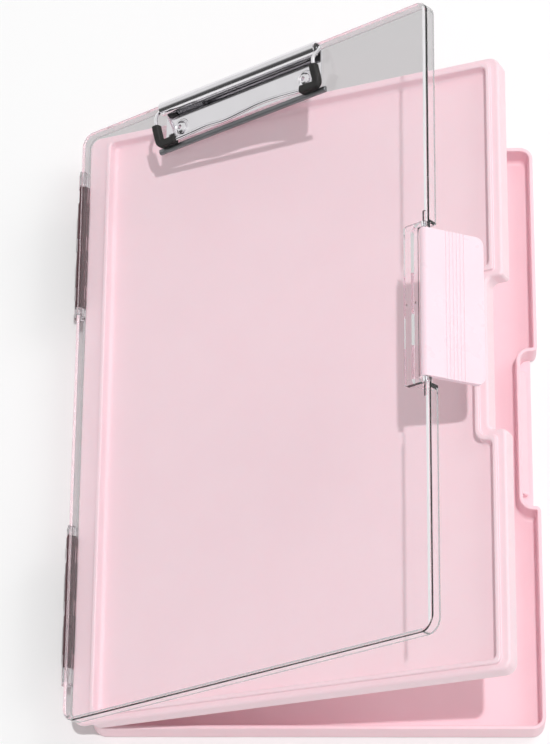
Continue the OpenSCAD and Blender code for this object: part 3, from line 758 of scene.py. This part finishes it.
# Sizes of the tray's outline and its section
tray = {
    "right": 118.5, "left": -118.5, "halfL": 170, "voidX": 109.3, "voidHalf": 42.5,
    # Against the distance in at the sides: that at the ends, and the three kinds of radius
    "in": (0, 4.6, 7, 12), "end": (0, 3.3, 5.6, 10.6), "r": (6, 3.5, 3, 0.6),
    "voidR": (4, 5, 6, 11), "mouthR": (2, 1.6, 3, 0.3),
    # Left edge of the flange over the hinge, against the same distance
    "flangeIn": (0, 1.8, 4.6, 12), "flangeLeft": (-125.2, -123.4, -113.9, -106.5),
    # Section below the flange, from under the floor outwards, and above it, back to the floor
    "under": [(5.2, 18.9, 0), (5.2, 23.7, 0.5), (1.8, 23.7, 0.5), (1.8, 15.7, 0.5), (0, 15.7, 0.6),
              (0, 22.7, 0)],
    "over": [(0, 22.7, 0), (0, 25.7, 1.7), (4.6, 25.7, 0.5), (4.6, 27.7, 0.7), (7, 27.7, 0.9),
             (7.05, 20.7, 2.4), (12, 20.7, 0)],
    # Tabs at both ends, with their distance from the middle in tabY, and ribs on the right at the
    # distances in ribAt. Each is a round box with its radius and rounding
    "tabX": (51.5, 79.5), "tabY": (164.6, 166.35), "tabZ": (7.75, 20), "tabRound": (0.6, 0.35),
    "ribX": (113, 117), "ribZ": (16.8, 23.9), "ribRound": (0.2, 0.15), "ribHalf": 0.6,
    "ribAt": range(60, 160, 20),
}


# Outline of the tray at a distance in s: each of its sizes is read off the tables above
def trayRing(s, z, flanged):
    end = np.interp(s, tray["in"], tray["end"])
    wall = {key: np.interp(s, tray["in"], tray[key]) for key in ("r", "voidR", "mouthR")}
    left = np.interp(s, tray["flangeIn"], tray["flangeLeft"]) if flanged else tray["left"] + s
    loop = caseLoop({**wall, "right": tray["right"] - s, "left": left, "halfL": tray["halfL"] - end,
                     "voidX": tray["voidX"] - s, "voidHalf": tray["voidHalf"] + end})
    return atHeight(loop, z)


# One skin from the underside of the floor, out round the wall, over the rim and down to the
# floor, then the tabs that drop into the base and the ribs under the rim
def makeTray():
    rings = [trayRing(s, z, False) for s, z in roundProfile(tray["under"], 4)]
    rings += [trayRing(s, z, True) for s, z in roundProfile(tray["over"], 6)]
    parts, half = [skin(rings)], tray["ribHalf"]
    for sign in (-1, 1):
        y0, y1 = sorted(sign * y for y in tray["tabY"])
        parts.append(roundBox(*tray["tabX"], y0, y1, *tray["tabZ"], *tray["tabRound"]))
        parts += [roundBox(*tray["ribX"], sign * y - half, sign * y + half, *tray["ribZ"],
                           *tray["ribRound"]) for y in tray["ribAt"]]
    makePiece("middleTrayMoulding", parts, "tray", "trayPink", ["middle_tray"])


makeTray()
print("tray made")


# Pieces that keep the form of their CAD node: body, slot, finish and edge rounding in mm
softened = {
    "latch_flap": ("latch", "pale_pink", "latchPink", 0.3),
    "base_hinge_upper": ("base", "hinge_dark", "hingeMaroon", 0.3),
    "base_hinge_lower": ("base", "hinge_dark", "hingeMaroon", 0.3),
    "tray_hinge_upper": ("tray", "hinge_pink", "hingePink", 0.3),
    "tray_hinge_lower": ("tray", "hinge_pink", "hingePink", 0.3),
    "clip_plate": ("lid", "chrome", "clipChrome", 0.22),
    "clip_jaw": ("jaw", "grey_steel", "jawNickel", 0.3),
}
for node, (body, slotName, finish, rounding) in softened.items():
    softenedCopy(node, body, finish, rounding)


# Middles and normals of a mesh's faces, in mm
def faceData(mesh):
    middles, normals = np.empty(len(mesh.polygons) * 3), np.empty(len(mesh.polygons) * 3)
    mesh.polygons.foreach_get("center", middles)
    mesh.polygons.foreach_get("normal", normals)
    return middles.reshape(-1, 3) / mm, normals.reshape(-1, 3)


# In mm in the closed lid: where the strip of painted highlight starts, the edge roundings of lid and
# hinge leaves, and the dark part of the upper leaf along Y. A face is on top over the cosine topFrom
lid = {"highlightStripFrom": 116.1, "topFrom": 0.9, "rounding": 0.45, "leafRounding": 0.3,
       "leafDark": (66.25, 139.45)}


# The strip of the lid's top that lies over its right wall carries a painted highlight: the lid is cut
# through at its edge, and the faces of the strip take the second finish, an opaque near-white
def makeLid():
    x = lid["highlightStripFrom"]
    start, along, above = turned(np.array([(x, 0, 0), (x + 1, 0, 0), (x, 0, 1)]), "lid")
    along, above = along - start, above - start
    piece = softenedCopy("clear_lid", "lid", ["clearPlastic", "lidEdgePaintedHighlight"],
                         lid["rounding"], [(start, along)])
    middles, normals = faceData(piece.data)
    paintedHighlightFaces = ((middles - start) @ along > 0) & (normals @ above > lid["topFrom"])
    piece.data.polygons.foreach_set("material_index", paintedHighlightFaces.astype(np.int32))


# The lid's hinge leaf is dark between its end knuckles, and those are clear: faces beyond the
# cuts take the second finish
def makeLidHinge(node, low, high):
    piece = softenedCopy(node, "lid", ["hingeMaroon", "clearPlastic"],
                         lid["leafRounding"], [((0, y, 0), (0, 1, 0)) for y in (low, high)])
    y = faceData(piece.data)[0][:, 1]
    piece.data.polygons.foreach_set("material_index", ((y < low) | (y > high)).astype(np.int32))


makeLid()
darkFrom, darkTo = lid["leafDark"]
makeLidHinge("lid_hinge_upper", darkFrom, darkTo)
makeLidHinge("lid_hinge_lower", -darkTo, -darkFrom)
print("lid, latch and hinges softened:", len(softened) + 3, "pieces")


# Lines of wire and grip in mm from x, y, z, which is the clip's middle at the lid's upper end and
# top. The rest is in mm in the closed lid
clip = {
    "x": -5.1, "y": 170, "z": 32.6, "spineY": 163, "spineZ": 36.6, "spineHalf": 55, "wireR": 1,
    "arm": [(54.7, -7, 4), (55.6, -7.1, 4), (56.2, -7.9, 4.5), (56.3, -9.5, 5.6), (56, -12, 7.4),
            (55.5, -15.2, 8.6), (55.4, -18.5, 7.9), (55.4, -25.5, 5.3), (54.2, -28.3, 4.7),
            (51.5, -28.6, 4.6)],
    "front": [(45, -28.6, 4.6), (36, -27.6, 4.4), (26, -26.6, 4.2), (14, -26.3, 4.2), (4, -27.1, 4.2),
              (-10, -28.1, 4.2), (-22, -27.3, 4.2), (-33, -27.9, 4.4), (-45, -28.5, 4.6)],
    "grip": [(55.4, -18.1, 8.1), (55.4, -19.7, 7.75), (55.4, -22.5, 6.7), (55.4, -25.6, 5.45),
             (54.9, -27.7, 4.75), (53.3, -28.6, 4.6), (50.5, -28.6, 4.6), (46.5, -28.5, 4.55),
             (43.7, -28.45, 4.5)],
    "gripHalf": 2.1, "gripRound": 0.9, "gripPower": 5.0, "gripSharp": 60,
    # The spring's first turn from the middle, its turns, pitch, radius and wire
    "springFrom": -48.05, "springTurns": 12, "springPitch": 1.5, "springR": 2.5, "springWire": 0.45,
    # Rivets to both sides of the middle. Their profiles are radius, height and rounding
    "rivetX": 43.5, "rivetY": 149.6,
    "rivetHead": [(1.1, -3.3, 0), (1.1, 2.55, 0.35), (2.3, 2.62, 1.2), (3.65, 1.75, 0.6),
                  (3.7, 1.0, 0), (1.8, 1.0, 0), (1.8, -2.7, 0), (2.7, -2.7, 0.2), (2.7, -3.3, 0.3),
                  (1.1, -3.3, 0)],
    "rivetBead": [(4.1, 0.85, 0), (4.45, 1.25, 0.3), (5.1, 1.25, 0.3), (5.5, 0.85, 0)],
}


# Points given from the clip's middle, moved to where they are in the closed lid
def fromClip(points):
    return np.asarray(points, float) + (clip["x"], clip["y"], clip["z"])


# The wire's line from right to left: arm, front run, and the arm mirrored. Its spine is straight
def makeWire(steps=10, around=24):
    arm, r = np.array(clip["arm"]), clip["wireR"]
    line = smoothLine(np.vstack((arm, clip["front"], arm[::-1] * (-1, 1, 1))), steps)
    spine = [(clip["x"] + x, clip["spineY"], clip["spineZ"])
             for x in np.linspace(-clip["spineHalf"], clip["spineHalf"], 5)]
    makePiece("clipWireDrawn", [tube(fromClip(line), r, around), tube(np.array(spine), r, around)],
              "jaw", "clipChrome", ["clip_wire"])


# Grip: a square section with round corners along the wire. Within e of an end, at distance t,
# the half size shrinks by e - sqrt(e^2 - (e - t)^2). A little is added to t, so that no end ring
# shrinks to the full
def makeGrip(name, side, node, steps=8, around=32, least=0.02):
    line = smoothLine(clip["grip"], steps)
    run = np.concatenate(([0], np.cumsum(np.linalg.norm(np.diff(line, axis=0), axis=1))))
    e = clip["gripRound"]
    near = np.clip(np.minimum(run, run[-1] - run) + least, 0, e)
    half = clip["gripHalf"] - e + np.sqrt(e**2 - (e - near) ** 2)
    parts = [tube(fromClip(line * (side, 1, 1)), half, around, clip["gripPower"])]
    makePiece(name, parts, "jaw", "gripRubber", [node], clip["gripSharp"])


# Torsion spring: a helix about the spine, x rising by the pitch each turn
def makeSpring(turnSteps=28, around=10):
    turns, r = clip["springTurns"], clip["springR"]
    a = np.linspace(0, 2 * pi * turns, turns * turnSteps + 1)
    x = clip["x"] + clip["springFrom"] + clip["springPitch"] * a / (2 * pi)
    line = np.column_stack((x, clip["spineY"] + r * np.cos(a), clip["spineZ"] + r * np.sin(a)))
    makePiece("clipSpringWound", [tube(line, clip["springWire"], around, up=(1, 0, 0))],
              "lid", "pinSteel", ["clip_spring"])


# Rivets: a domed tube head, turned about its axis, its shank and its clinch under the washer,
# and a bead pressed into the plate round each head
def makeRivets():
    head = roundProfile(clip["rivetHead"], 4)[:-1]    # its last corner is its first
    bead = roundProfile(clip["rivetBead"], 4)
    spots = [(clip["x"] + side * clip["rivetX"], clip["rivetY"], clip["z"]) for side in (-1, 1)]
    makePiece("clipRivetsTurned", [revolve(head, spot) for spot in spots],
              "lid", "clipChrome", ["clip_rivets"])
    makePiece("clipPlateBeads", [revolve(bead, spot) for spot in spots],
              "lid", "clipChrome")


makeWire()
makeGrip("gripLeftMoulded", -1, "clip_grip_left")
makeGrip("gripRightMoulded", 1, "clip_grip_right")
makeSpring()
makeRivets()
print("clip made")
